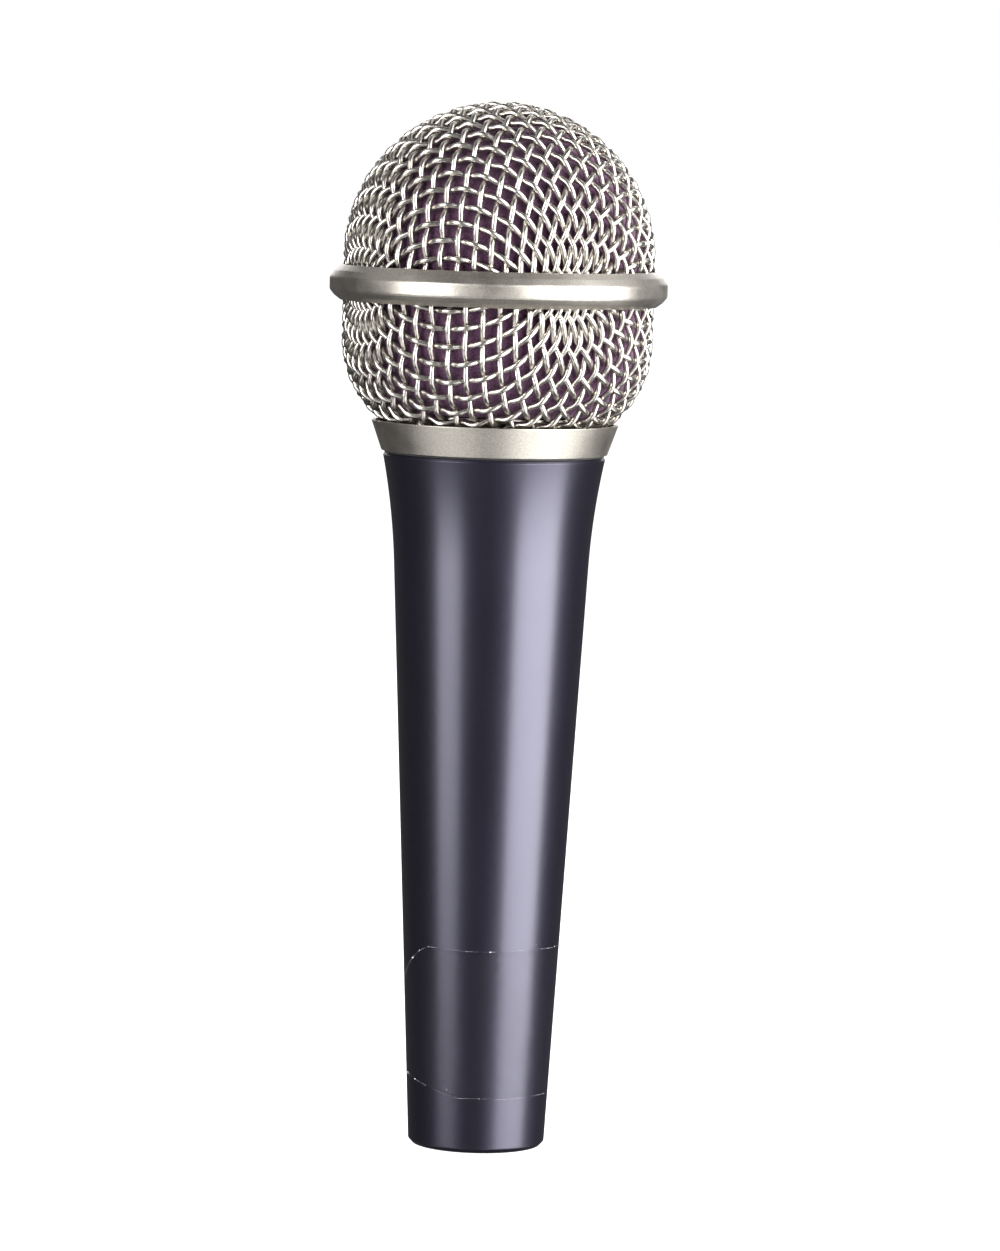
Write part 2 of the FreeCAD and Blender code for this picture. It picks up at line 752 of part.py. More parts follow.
ring("collar_gasket", "gasket_inner", "gasket_outer", "shoulder_height + touch_gap",
     "collar_foot - touch_gap")
grille_collar()
grille_band()
ring("band_hoop", "hoop_inner", "hoop_outer", "band_foot + 0.3", "band_top - 0.3")
grille_upper_mesh()
grille_lower_mesh()
mesh_clamp_ring()
foam_windscreen()
ring("pop_disc", "0", "disc_radius", "disc_foot", "disc_foot + disc_thickness")

capsule_housing()
motor()
moving_film()
surround()
protective_cap()
terminals()

doc.recompute()
for item in doc.Objects:
    if {"Invalid", "Error"} & set(item.State):
        raise RuntimeError(f"{item.Label} failed: {item.State}")
for part in subparts:
    if part.Shape.isNull() or not part.Shape.isValid() or not part.Shape.Solids:
        raise RuntimeError(f"{part.Label} has no valid solid")
os.makedirs("parts", exist_ok=True)
for part in subparts:
    part.Shape.exportStep(os.path.join("parts", part.Label + ".step"))
print(f"{len(subparts)} sub-parts written")
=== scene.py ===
import math
import random

import bpy
import numpy as np
from mathutils import Matrix, Vector


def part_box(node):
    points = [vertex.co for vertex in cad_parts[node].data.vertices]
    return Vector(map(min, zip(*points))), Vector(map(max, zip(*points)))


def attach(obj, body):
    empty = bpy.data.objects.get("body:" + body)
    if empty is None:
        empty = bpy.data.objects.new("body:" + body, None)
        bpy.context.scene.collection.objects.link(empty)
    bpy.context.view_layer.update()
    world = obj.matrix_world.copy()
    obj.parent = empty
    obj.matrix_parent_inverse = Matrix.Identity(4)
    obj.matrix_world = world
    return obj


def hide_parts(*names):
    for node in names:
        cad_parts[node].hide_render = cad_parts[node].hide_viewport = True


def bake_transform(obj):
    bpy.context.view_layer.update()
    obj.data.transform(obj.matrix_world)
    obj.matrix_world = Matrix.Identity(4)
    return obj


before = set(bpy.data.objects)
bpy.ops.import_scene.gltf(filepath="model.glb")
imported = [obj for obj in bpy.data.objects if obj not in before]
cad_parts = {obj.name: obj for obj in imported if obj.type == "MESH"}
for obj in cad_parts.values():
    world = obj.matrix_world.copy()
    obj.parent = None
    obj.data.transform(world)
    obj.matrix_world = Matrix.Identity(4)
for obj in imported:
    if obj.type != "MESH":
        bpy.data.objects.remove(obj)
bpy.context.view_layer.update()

MM = 0.001

# ---------------------------------------------------------------- places, from the frame

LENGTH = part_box("grille_upper_mesh")[1].z
MESH_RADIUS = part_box("grille_upper_mesh")[1].x
DOME_LEVEL = LENGTH - MESH_RADIUS
CUP_LEVEL = 129.0 * MM
CUP_ARC = 17.0 * MM
TAPER = 0.0497
TAIL_RADIUS = 10.88 * MM
THREAD_PITCH = 1.0 * MM
FRONT = math.radians(-90)

# The net that the wires follow has a few lines to each pitch of the weave, and reaches a number of pitches
# from its pole. The smooth run along a wire has a few points to each knot.
WIRE_RADIUS = 0.46 * MM
SHARES = 4
REACH = 17
POINTS_PER_KNOT = 2

# Heights of the tape's edges in front, in millimetres.
TAPE_TOP = 32.75
TAPE_FOOT = 8.9
TAPE_GAP = 0.03 * MM
TAPE_THICKNESS = 0.05 * MM

LIGHT_DISTANCE = 0.8


def cone_radius(height):
    """The handle's radius at a height on its straight cone."""
    return TAIL_RADIUS + TAPER * height


def around(angle, radius, height):
    """The point at an angle from +X, a distance from the axis, and a height."""
    return (radius * math.cos(angle), radius * math.sin(angle), height)


# ---------------------------------------------------------------- meshes


def new_piece(name, verts, faces, material, smooth=True):
    """A mesh object from vertices and faces."""
    mesh = bpy.data.meshes.new(name)
    mesh.from_pydata([tuple(v) for v in verts], [], faces)
    mesh.validate()
    mesh.polygons.foreach_set("use_smooth", [smooth] * len(mesh.polygons))
    mesh.materials.append(material)
    piece = bpy.data.objects.new(name, mesh)
    bpy.context.scene.collection.objects.link(piece)
    return piece


def eased(corners):
    """An outline of (radius, height, easing) corners, each rounded by its easing, or left as it is at 0.
    Beside each rounding stands a guard point, so that smooth shading leaves the faces between them flat."""
    steps = 5
    outline = []
    for k, (radius, height, easing) in enumerate(corners):
        if not easing:
            outline.append((radius, height))
            continue
        corner = Vector((radius, height))
        back = (Vector(corners[k - 1][:2]) - corner).normalized()
        onward = (Vector(corners[(k + 1) % len(corners)][:2]) - corner).normalized()
        reach = easing / math.tan(0.5 * back.angle(onward))
        guard = reach + 0.3 * easing
        outline.append(tuple(corner + back * guard))
        for n in range(steps + 1):
            t = n / steps
            outline.append(tuple(corner + back * reach * (1 - t) ** 2 + onward * reach * t ** 2))
        outline.append(tuple(corner + onward * guard))
    return outline


def lathe(name, outline, material, steps, wobble=None):
    """A closed outline of (radius, height) turned about Z. wobble(angle, radius, height) moves a point."""
    verts, faces = [], []
    count = len(outline)
    for k in range(steps):
        angle = 2 * math.pi * k / steps
        for radius, height in outline:
            if wobble:
                radius, height = wobble(angle, radius, height)
            verts.append(around(angle, radius, height))
        start, following = k * count, ((k + 1) % steps) * count
        for a in range(count):
            b = (a + 1) % count
            faces.append((start + a, following + a, following + b, start + b))
    return new_piece(name, verts, faces, material)


def arc_points(centre, radius, first, last, steps):
    """Points of an arc in the (radius, height) plane, from one angle to another in degrees."""
    angles = [math.radians(first + (last - first) * k / steps) for k in range(steps + 1)]
    return [(centre[0] + radius * math.cos(a), centre[1] + radius * math.sin(a)) for a in angles]


def tubes(name, paths, radius, material, sides=8):
    """Closed round tubes along paths of (points, normals), all in one mesh."""
    verts, faces = [], []
    turn = np.linspace(0, 2 * math.pi, sides, endpoint=False)
    for points, normals in paths:
        tangents = np.gradient(points, axis=0)
        tangents /= np.linalg.norm(tangents, axis=1, keepdims=True)
        across = np.cross(tangents, normals)
        across /= np.linalg.norm(across, axis=1, keepdims=True)
        upward = np.cross(across, tangents)
        rings = (points[:, None, :]
                 + radius * (np.cos(turn)[None, :, None] * upward[:, None, :]
                             + np.sin(turn)[None, :, None] * across[:, None, :]))
        start = len(verts)
        verts.extend(rings.reshape(-1, 3).tolist())
        last = start + (len(points) - 1) * sides
        for low in range(start, last, sides):
            for a in range(sides):
                b = (a + 1) % sides
                faces.append((low + a, low + b, low + sides + b, low + sides + a))
        faces.append(tuple(range(start + sides - 1, start - 1, -1)))
        faces.append(tuple(range(last, last + sides)))
    return new_piece(name, verts, faces, material)


# ---------------------------------------------------------------- woven wire


def on_cup(point, cup):
    """The nearest point of a cup-shaped surface, and the normal there. A cup has a flat disc at its pole,
    then an arc down to its level, then a straight wall."""
    radius = math.hypot(point[0], point[1])
    rise = cup["way"] * (point[2] - cup["level"])
    if rise < 0:
        out, up, normal = cup["flat"] + cup["arc"], rise, (1.0, 0.0)
    elif radius <= cup["flat"]:
        out, up, normal = radius, cup["arc"], (0.0, 1.0)
    else:
        reach = math.hypot(radius - cup["flat"], rise)
        normal = ((radius - cup["flat"]) / reach, rise / reach)
        out, up = cup["flat"] + cup["arc"] * normal[0], cup["arc"] * normal[1]
    side = np.array([point[0], point[1]]) / radius if radius > 1e-9 else np.array([1.0, 0.0])
    place = np.array([side[0] * out, side[1] * out, cup["level"] + cup["way"] * up])
    return place, np.array([side[0] * normal[0], side[1] * normal[0], cup["way"] * normal[1]])


def next_on_meridian(earlier, before, step, cup):
    """The point of the cup one step beyond two others on the same meridian."""
    place = on_cup(2 * before - earlier, cup)[0]
    for _ in range(8):
        ahead = place - before
        place = on_cup(before + ahead * (step / np.linalg.norm(ahead)), cup)[0]
    return place


def fourth_corner(a, b, opposite, step, cup):
    """The point of the cup one step from both a and b, on the far side from opposite. None if it has
    no such point, because the net can shear no further."""
    if np.linalg.norm(a - b) > 1.998 * step:
        return None
    place, normal = on_cup(a + b - opposite, cup)
    for _ in range(9):
        east = np.cross(normal, a - b)
        east /= np.linalg.norm(east)
        north = np.cross(normal, east)
        from_a, from_b = place - a, place - b
        slopes = 2 * np.array([[from_a @ east, from_a @ north], [from_b @ east, from_b @ north]])
        errors = np.array([step ** 2 - from_a @ from_a, step ** 2 - from_b @ from_b])
        if abs(np.linalg.det(slopes)) < 1e-14:
            return None
        move = np.linalg.solve(slopes, errors)
        move *= min(1.0, 0.4 * step / max(np.linalg.norm(move), 1e-12))
        place, normal = on_cup(place + east * move[0] + north * move[1], cup)
    return place if max(abs(errors)) < 1e-10 else None


def net_quarter(cup):
    """The knots (i, j) of a fine square net draped over a quarter of the cup from its pole. Its step is a
    share of the wire's pitch, so that the wires can follow every few of its lines."""
    step = cup["pitch"] / SHARES
    count = REACH * SHARES
    pole = np.array([0.0, 0.0, cup["level"] + cup["way"] * cup["arc"]])
    knots = {(0, 0): pole}
    earlier = {(1, 0): pole - np.array([step, 0, 0]), (0, 1): pole - np.array([0, step, 0])}
    for k in range(1, count + 1):
        for way in ((1, 0), (0, 1)):
            before = knots[way[0] * (k - 1), way[1] * (k - 1)]
            knots[way[0] * k, way[1] * k] = next_on_meridian(earlier[way], before, step, cup)
            earlier[way] = before
    for i in range(1, count + 1):
        for j in range(1, count + 1):
            near = [knots.get(key) for key in ((i - 1, j), (i, j - 1), (i - 1, j - 1))]
            found = None if any(p is None for p in near) else fourth_corner(*near, step, cup)
            if found is not None:
                knots[i, j] = found
    return knots


def wire_paths(cup, knots, low, high, along_first, rng):
    """The wires that run one way through the weave, as (points, normals) between two heights.
    Each passes over one crossing wire and under the next."""
    count = REACH * SHARES
    turn = np.array(Matrix.Rotation(cup["turn"], 3, "Z"))
    origin, first = cup["start"] if along_first else cup["start"][::-1]
    lines = [n for n in range(-count, count + 1) if (n - first) % SHARES == 0]
    paths = []
    for line in lines:
        parity = (line - first) // SHARES + (0 if along_first else 1)
        strays = [rng.uniform(0.9, 1.0) for _ in range(2 * count + 1)]
        stations = []
        for k in range(-count, count + 1):
            i, j = (k, line) if along_first else (line, k)
            place = knots.get((abs(i), abs(j)))
            if place is None:
                stations.append(None)
                continue
            mirrored = np.array([-1 if i < 0 else 1, -1 if j < 0 else 1, 1])
            place, normal = on_cup(place * mirrored, cup)
            lift = math.cos(math.pi * ((k - origin) / SHARES + parity)) * strays[k + count]
            stations.append(place + normal * lift * WIRE_RADIUS)
        for points, normals in threaded(stations, cup, low, high):
            paths.append((points @ turn.T, normals @ turn.T))
    return paths


def threaded(stations, cup, low, high):
    """Smooth runs through a wire's stations, cut square to the cup where the cup lies between two heights."""
    points = []
    for k in range(1, len(stations) - 2):
        four = stations[k - 1:k + 3]
        if any(s is None for s in four):
            points.append(None)
            continue
        for step in range(POINTS_PER_KNOT):
            points.append(spline_point(*four, step / POINTS_PER_KNOT))
    runs, run = [], []
    for point in points + [None]:
        if point is not None and low < on_cup(point, cup)[0][2] < high:
            run.append(point)
            continue
        if len(run) > 3:
            run = np.array(run)
            runs.append((run, np.array([on_cup(p, cup)[1] for p in run])))
        run = []
    return runs


def spline_point(a, b, c, d, t):
    """A point of the smooth curve from b to c, whose neighbours are a and d."""
    bend, twist = 2 * a - 5 * b + 4 * c - d, 3 * b - a - 3 * c + d
    return 0.5 * (2 * b + (c - a) * t + bend * t * t + twist * t ** 3)


# ---------------------------------------------------------------- materials


class Shader:
    """A node material with a Principled shader, and the few things that every finish here is made of."""

    def __init__(self, name, colour, roughness, metallic=0.0, **sockets):
        self.material = bpy.data.materials.new(name)
        self.material.use_nodes = True
        self.nodes = self.material.node_tree.nodes
        self.links = self.material.node_tree.links
        self.surface = self.nodes["Principled BSDF"]
        self.surface.inputs["Base Color"].default_value = (*colour, 1)
        self.surface.inputs["Roughness"].default_value = roughness
        self.surface.inputs["Metallic"].default_value = metallic
        for socket, size in sockets.items():
            self.surface.inputs[socket.replace("_", " ")].default_value = size
        self.place = self.nodes.new("ShaderNodeTexCoord").outputs["Object"]

    def noise(self, size, detail=3.0, roughness=0.6, stretch=(1, 1, 1)):
        """Noise with features of a size in metres."""
        mapping = self.nodes.new("ShaderNodeMapping")
        mapping.inputs["Scale"].default_value = stretch
        texture = self.nodes.new("ShaderNodeTexNoise")
        texture.inputs["Scale"].default_value = 1 / size
        texture.inputs["Detail"].default_value = detail
        texture.inputs["Roughness"].default_value = roughness
        self.links.new(self.place, mapping.inputs["Vector"])
        self.links.new(mapping.outputs["Vector"], texture.inputs["Vector"])
        return texture.outputs["Fac"]

    def cells(self, size):
        """Round cells of a size in metres."""
        texture = self.nodes.new("ShaderNodeTexVoronoi")
        texture.inputs["Scale"].default_value = 1 / size
        self.links.new(self.place, texture.inputs["Vector"])
        return texture.outputs["Distance"]

    def ramp(self, factor, stops):
        """Colours along a factor, from (position, colour) stops."""
        node = self.nodes.new("ShaderNodeValToRGB")
        elements = node.color_ramp.elements
        while len(elements) < len(stops):
            elements.new(0.5)
        for element, (position, colour) in zip(elements, stops):
            element.position = position
            element.color = (*colour, 1)
        self.links.new(factor, node.inputs["Fac"])
        return node.outputs["Color"]

    def colour(self, factor, stops):
        """Gives the surface colours along a factor."""
        self.links.new(self.ramp(factor, stops), self.surface.inputs["Base Color"])

    def spread(self, socket, factor, low, high):
        """Gives a socket a value between low and high along a factor."""
        node = self.nodes.new("ShaderNodeMapRange")
        node.inputs["From Min"].default_value = 0.3
        node.inputs["From Max"].default_value = 0.7
        node.inputs["To Min"].default_value = low
        node.inputs["To Max"].default_value = high
        self.links.new(factor, node.inputs["Value"])
        self.links.new(node.outputs["Result"], self.surface.inputs[socket])

    def relief(self, factor, depth, under=None):
        """Raises the surface along a factor, by a depth in metres, over an earlier relief."""
        node = self.nodes.new("ShaderNodeBump")
        node.inputs["Distance"].default_value = depth
        self.links.new(factor, node.inputs["Height"])
        if under:
            self.links.new(under, node.inputs["Normal"])
        self.links.new(node.outputs["Normal"], self.surface.inputs["Normal"])
        return node.outputs["Normal"]


def shade_of(colour, share):
    """A colour made darker or lighter by a share."""
    return tuple(min(1.0, c * share) for c in colour)


def paint():
    """Midnight-blue satin paint with a fine flake."""
    s = Shader("handle_paint", (0.002, 0.0016, 0.0036), 0.33, IOR=1.5, Coat_Weight=0.5, Coat_Roughness=0.26)
    s.surface.inputs["Specular Tint"].default_value = (0.70, 0.67, 1.0, 1)
    flake = s.noise(0.17 * MM, detail=2)
    s.colour(flake, [(0.35, (0.0012, 0.0010, 0.0022)), (0.65, (0.0028, 0.0024, 0.0050))])
    s.spread("Roughness", s.noise(9 * MM, stretch=(1, 1, 0.4)), 0.31, 0.35)
    peel = s.relief(s.noise(1.1 * MM, detail=1), 3e-6)
    s.relief(flake, 1.1e-5, under=peel)
    return s.material


def nickel():
    """Bead-blasted nickel plating, with a fine speckle."""
    colour = (0.42, 0.395, 0.355)
    s = Shader("satin_nickel", colour, 0.39, metallic=1.0)
    speckle = s.noise(0.22 * MM, detail=3, roughness=0.7)
    s.colour(speckle, [(0.3, shade_of(colour, 0.70)), (0.7, shade_of(colour, 1.20))])
    s.spread("Roughness", s.noise(4 * MM), 0.35, 0.44)
    s.relief(speckle, 8e-6)
    return s.material


def wire():
    """Drawn nickel-plated wire: satin, with faint scratches."""
    colour = (0.50, 0.475, 0.435)
    s = Shader("mesh_wire", colour, 0.30, metallic=1.0)
    s.colour(s.noise(0.9 * MM), [(0.3, shade_of(colour, 0.85)), (0.7, shade_of(colour, 1.12))])
    s.spread("Roughness", s.noise(0.5 * MM), 0.26, 0.34)
    s.relief(s.noise(0.12 * MM, detail=2), 2e-6)
    return s.material


def foam():
    """Open-cell foam, dyed dark aubergine, with painted shade in its pores and painted light on the rims
    between them.
    """
    s = Shader("dark_foam", (0.054, 0.018, 0.046), 0.95, Sheen_Weight=0.1, Sheen_Roughness=0.6)
    pores_and_painted_shade = s.cells(0.34 * MM)
    # Painted shade and light: the pore hollows are coloured darker than the dye, and the rims between them
    # lighter.
    s.colour(pores_and_painted_shade, [
        (0.05, (0.024, 0.007, 0.020)),
        (0.4, (0.054, 0.017, 0.047)),
        (0.8, (0.082, 0.030, 0.070)),
    ])
    rough = s.relief(pores_and_painted_shade, 0.08 * MM)
    s.relief(s.noise(0.25 * MM), 0.05 * MM, under=rough)
    return s.material


def plastic(name, colour, roughness=0.5, grain=0.3, depth=8e-6):
    """Moulded plastic with a fine spark-eroded grain."""
    s = Shader(name, colour, roughness)
    texture = s.noise(grain * MM, detail=2)
    s.colour(texture, [(0.3, shade_of(colour, 0.8)), (0.7, shade_of(colour, 1.25))])
    s.spread("Roughness", s.noise(3 * MM), roughness - 0.06, roughness + 0.08)
    s.relief(texture, depth)
    return s.material


def metal(name, colour, roughness, grain=0.2, stretch=(1, 1, 1)):
    """Turned or rolled metal, with marks that stretch can draw out."""
    s = Shader(name, colour, roughness, metallic=1.0)
    marks = s.noise(grain * MM, detail=3, stretch=stretch)
    s.colour(marks, [(0.3, shade_of(colour, 0.82)), (0.7, shade_of(colour, 1.15))])
    s.spread("Roughness", marks, roughness - 0.06, roughness + 0.08)
    s.relief(marks, 4e-6)
    return s.material


def cloth(name, colour, thread=0.25):
    """Fine woven cloth or felt."""
    s = Shader(name, colour, 0.9, Sheen_Weight=0.3)
    weave = s.cells(thread * MM)
    s.colour(weave, [(0.1, shade_of(colour, 0.5)), (0.6, shade_of(colour, 1.3))])
    s.relief(weave, 0.05 * MM)
    return s.material


def film(name, colour, alpha, roughness=0.15):
    """Thin clear film, with faint rubbed marks."""
    s = Shader(name, colour, roughness, Alpha=alpha)
    s.spread("Roughness", s.noise(0.8 * MM, stretch=(1, 1, 3)), roughness, roughness + 0.2)
    rub = s.relief(s.noise(0.25 * MM, stretch=(0.3, 0.3, 1)), 4e-6)
    s.relief(s.noise(2.5 * MM, stretch=(1, 1, 0.5)), 1.5e-5, under=rub)
    return s.material


def grey_edge_line(name, colour):
    """A light grey line along the edge of a clear tape, broken up by noise in its alpha."""
    s = Shader(name, colour, 0.6)
    s.spread("Alpha", s.noise(1.6 * MM, detail=3), -0.12, 0.30)
    return s.material


# ---------------------------------------------------------------- pieces


def woven_half(name, cup, low, high, node, material):
    """The two sets of wires of one half of the ball."""
    rng = random.Random(2)
    knots = net_quarter(cup)
    for thread, along_first in (("warp", True), ("weft", False)):
        paths = wire_paths(cup, knots, low, high, along_first, rng)
        piece = tubes(f"{name}_{thread}", paths, WIRE_RADIUS, material)
        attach(piece, "head")
        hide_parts(node)


def woven_ball(material):
    """Both halves of the woven ball. Each starts its weave at its own offset from the pole, in shares of a
    pitch along the two sets of wires."""
    depth = 2 * WIRE_RADIUS
    upper_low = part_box("grille_upper_mesh")[0].z
    lower_low, lower_high = (corner.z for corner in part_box("grille_lower_mesh"))
    dome = {"level": DOME_LEVEL, "way": 1, "flat": 0.0, "arc": MESH_RADIUS - depth, "pitch": 2.76 * MM,
            "start": (2, 2), "turn": FRONT - math.radians(19)}
    bowl = {"level": CUP_LEVEL, "way": -1, "flat": MESH_RADIUS - CUP_ARC, "arc": CUP_ARC - depth,
            "pitch": 2.78 * MM, "start": (3, 0), "turn": FRONT - math.radians(18.5)}
    rim = CUP_LEVEL - (CUP_LEVEL - lower_low) * bowl["arc"] / CUP_ARC
    woven_half("upper_mesh", dome, upper_low, LENGTH, "grille_upper_mesh", material)
    woven_half("lower_mesh", bowl, rim, lower_high, "grille_lower_mesh", material)


def band_and_collar(material):
    """The band round the ball and the collar under it, turned smooth."""
    low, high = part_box("grille_band")
    inner = MESH_RADIUS + 0.05 * MM
    outline = eased([
        (inner, low.z, 0.05 * MM),
        (inner + 0.3 * MM, low.z, 0.15 * MM),
        (high.x - 0.75 * MM, low.z + 0.70 * MM, 1.5 * MM),
        (high.x, low.z + 1.6 * MM, 0.8 * MM),
        (high.x, high.z - 2.0 * MM, 0.8 * MM),
        (high.x - 0.85 * MM, high.z - 0.90 * MM, 1.5 * MM),
        (inner + 0.15 * MM, high.z, 0.15 * MM),
        (inner, high.z, 0.03 * MM),
    ])
    band = lathe("band_turned", outline, material, steps=256)
    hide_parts("grille_band")

    low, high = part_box("grille_collar")
    bore, foot, lip = 15.95 * MM, 18.0 * MM, 18.9 * MM
    seat = high.z - 1.35 * MM
    outline = eased([
        (bore, low.z, 0.1 * MM),
        (foot, low.z, 0.14 * MM),
        (high.x, high.z, 0.1 * MM),
        (lip, high.z, 0.1 * MM),
        (lip, seat + 0.55 * MM, 0.05 * MM),
        (lip - 0.55 * MM, seat, 0.05 * MM),
        (bore, seat, 0.05 * MM),
    ])
    collar = lathe("collar_turned", outline, material, steps=256)
    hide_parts("grille_collar")
    for piece in (band, collar):
        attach(piece, "head")


def bent_between(start, end, bend, steps):
    """Points of an arc of radius bend from start to end in the (radius, height) plane, hollow on its
    outer side."""
    chord = Vector(end) - Vector(start)
    away = Vector((chord.y, -chord.x)).normalized()
    centre = 0.5 * (Vector(start) + Vector(end)) + away * math.sqrt(bend ** 2 - 0.25 * chord.length_squared)
    first, last = (math.degrees(math.atan2(p[1] - centre.y, p[0] - centre.x)) % 360 for p in (start, end))
    return arc_points(centre, bend, first, last, steps)


def round_bar(place, radius, length, material):
    """A bar along Y that starts at a place."""
    sides = 32
    verts, faces = [], []
    for k in range(sides):
        angle = 2 * math.pi * k / sides
        across, up = radius * math.cos(angle), radius * math.sin(angle)
        for along in (0, length):
            verts.append((place[0] + across, place[1] + along, place[2] + up))
        n = 2 * ((k + 1) % sides)
        faces.append((2 * k, n, n + 1, 2 * k + 1))
    faces.append(tuple(range(2 * sides - 2, -1, -2)))
    faces.append(tuple(range(1, 2 * sides, 2)))
    return new_piece("bar", verts, faces, material)


def cut_away(piece, tool):
    """Takes the shape of a tool out of a piece, and the tool out of the scene."""
    cut = piece.modifiers.new("cut", "BOOLEAN")
    cut.operation, cut.object, cut.solver = "DIFFERENCE", tool, "EXACT"
    mesh = bpy.data.meshes.new_from_object(piece.evaluated_get(bpy.context.evaluated_depsgraph_get()))
    piece.modifiers.clear()
    piece.data = mesh
    bpy.data.objects.remove(tool)
    mesh.set_sharp_from_angle(angle=math.radians(40))


def handle_skin(material):
    """The handle turned smooth, with the hole of the connector's locking screw drilled through its wall."""
    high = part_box("handle_shell")[1]
    socket, latch, stop = 8.15 * MM, 8.75 * MM, 7.2 * MM
    neck, bore, cavity_top, cavity_foot = 15.6 * MM, 13.9 * MM, 12.9 * MM, 9.4 * MM
    cone_top, flare_top, shoulder, ledge = 93 * MM, 110.4 * MM, 110.9 * MM, 100 * MM
    latch_low, latch_high, insert_back = 3 * MM, 5 * MM, 20.5 * MM
    mouth, rim, flare_radius = 0.45 * MM, 0.7 * MM, 115 * MM
    screw_height, screw_radius = 17.5 * MM, 1.3 * MM
    fine = 0.08 * MM
    cone = [(cone_radius(z * MM), z * MM, 0) for z in range(3, 93, 3)]
    flare = bent_between((cone_radius(cone_top), cone_top), (high.x, flare_top), flare_radius, 24)
    outline = eased([
        (socket, mouth, fine),
        (socket + mouth, 0, fine),
        (TAIL_RADIUS - 0.6 * MM, 0, 0.2 * MM),
        (cone_radius(rim), rim, 0.3 * MM),
        *cone,
        *[(radius, height, 0) for radius, height in flare[:-1]],
        (high.x, flare_top, fine),
        (high.x - 0.3 * MM, shoulder, fine),
        (neck, shoulder, fine),
        (neck, high.z, 0.3 * MM),
        (bore, high.z, 0.2 * MM),
        (bore, ledge, fine),
        (cavity_top, ledge, fine),
        (cavity_foot, 24 * MM, fine),
        (stop, insert_back + 2 * MM, fine),
        (stop, insert_back, fine),
        (socket, insert_back, fine),
        (socket, latch_high, fine),
        (latch, latch_high, fine),
        (latch, latch_low, fine),
        (socket, latch_low, fine),
    ])
    skin = lathe("handle_skin", outline, material, steps=192)
    cut_away(skin, round_bar((0, 8.5 * MM, screw_height), screw_radius, 6 * MM, material))
    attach(skin, "handle")
    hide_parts("handle_shell")


def foam_pieces(material):
    """The foam liner behind the wires and the loose disc over the capsule."""
    low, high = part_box("foam_windscreen")
    outer, thickness, mouth = high.x, 3.8 * MM, 15.8 * MM
    inner = outer - thickness
    flat = MESH_RADIUS - CUP_ARC
    foot_angle = math.degrees(math.asin((CUP_LEVEL - low.z) / (outer - flat)))
    mouth_angle = math.degrees(math.acos((mouth - flat) / (inner - flat)))
    outline = arc_points((0, DOME_LEVEL), inner, 89.9, 0, 40)
    outline += arc_points((flat, CUP_LEVEL), inner - flat, 0, -mouth_angle, 20)
    outline += [(mouth, low.z)]
    outline += arc_points((flat, CUP_LEVEL), outer - flat, -foot_angle, 0, 30)
    outline += arc_points((0, DOME_LEVEL), outer, 0, 89.9, 90)
    rng = random.Random(4)
    waves = [(rng.randint(3, 17), rng.uniform(100, 900), rng.uniform(0, 6.28)) for _ in range(14)]

    def ripple(angle, radius, height):
        swell = sum(math.sin(a * angle + b * height + c) for a, b, c in waves) / len(waves)
        return radius * (1 - 0.008 * (swell + 0.5)), height

    liner = lathe("windscreen_foam", outline, material, steps=220, wobble=ripple)
    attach(liner, "head")
    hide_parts("foam_windscreen")

    low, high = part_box("pop_disc")
    soft = 0.8 * MM
    outline = [(0.05 * MM, low.z + 0.1 * MM)]
    outline += arc_points((high.x - soft, low.z + soft), soft, -90, 0, 6)
    outline += arc_points((high.x - soft, high.z - soft), soft, 0, 90, 6)
    outline += [(0.05 * MM, high.z - 0.1 * MM)]
    disc = lathe("pop_disc_foam", outline, material, steps=120, wobble=ripple)
    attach(disc, "pop_disc")
    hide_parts("pop_disc")


def neck_thread(material):
    """The helical ridge on the neck that the collar screws onto."""
    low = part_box("collar_gasket")[1].z + 0.2 * MM
    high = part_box("handle_shell")[1].z - 0.45 * MM
    root, crest, steps_per_turn = 15.55 * MM, 15.87 * MM, 72
    turns = (high - low) / THREAD_PITCH
    steps = int(turns * steps_per_turn)
    verts, faces = [], []
    for k in range(steps + 1):
        share = k / steps
        fade = min(1.0, 12 * share, 12 * (1 - share))
        height = low + (high - low) * share
        angle = 2 * math.pi * turns * share
        top = root + (crest - root) * max(fade, 0.02)
        section = [(root, -0.36), (top, -0.10), (top, 0.10), (root, 0.36)]
        verts += [around(angle, radius, height + lift * MM) for radius, lift in section]
        if k:
            a, b = 4 * (k - 1), 4 * k
            faces += [(a + n, b + n, b + (n + 1) % 4, a + (n + 1) % 4) for n in range(4)]
    faces += [(3, 2, 1, 0), tuple(range(4 * steps, 4 * steps + 4))]
    piece = new_piece("neck_thread", verts, faces, material, smooth=False)
    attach(piece, "handle")


def aside(angle):
    """How far an angle lies from the front, in degrees. It is negative to the left."""
    return math.degrees(math.remainder(angle - FRONT, 2 * math.pi))


def tape_top(angle):
    """The height of the tape's upper edge, which runs off downwards at the left."""
    place = aside(angle)
    share = max(0.0, (-40 - place) / 30) if place > -80 else (180 + place) / 75
    return (TAPE_TOP - 3.9 * min(share, 1.33) ** 1.5 + 0.1 * math.sin(5 * angle)) * MM


def tape_foot(angle):
    """The height of the tape's lower edge, which rises at the left."""
    place = aside(angle)
    share = max(0.0, (-15 - place) / 62) if place > -77 else (180 + place) / 103
    return (TAPE_FOOT + 2.8 * share + 0.06 * math.sin(7 * angle)) * MM


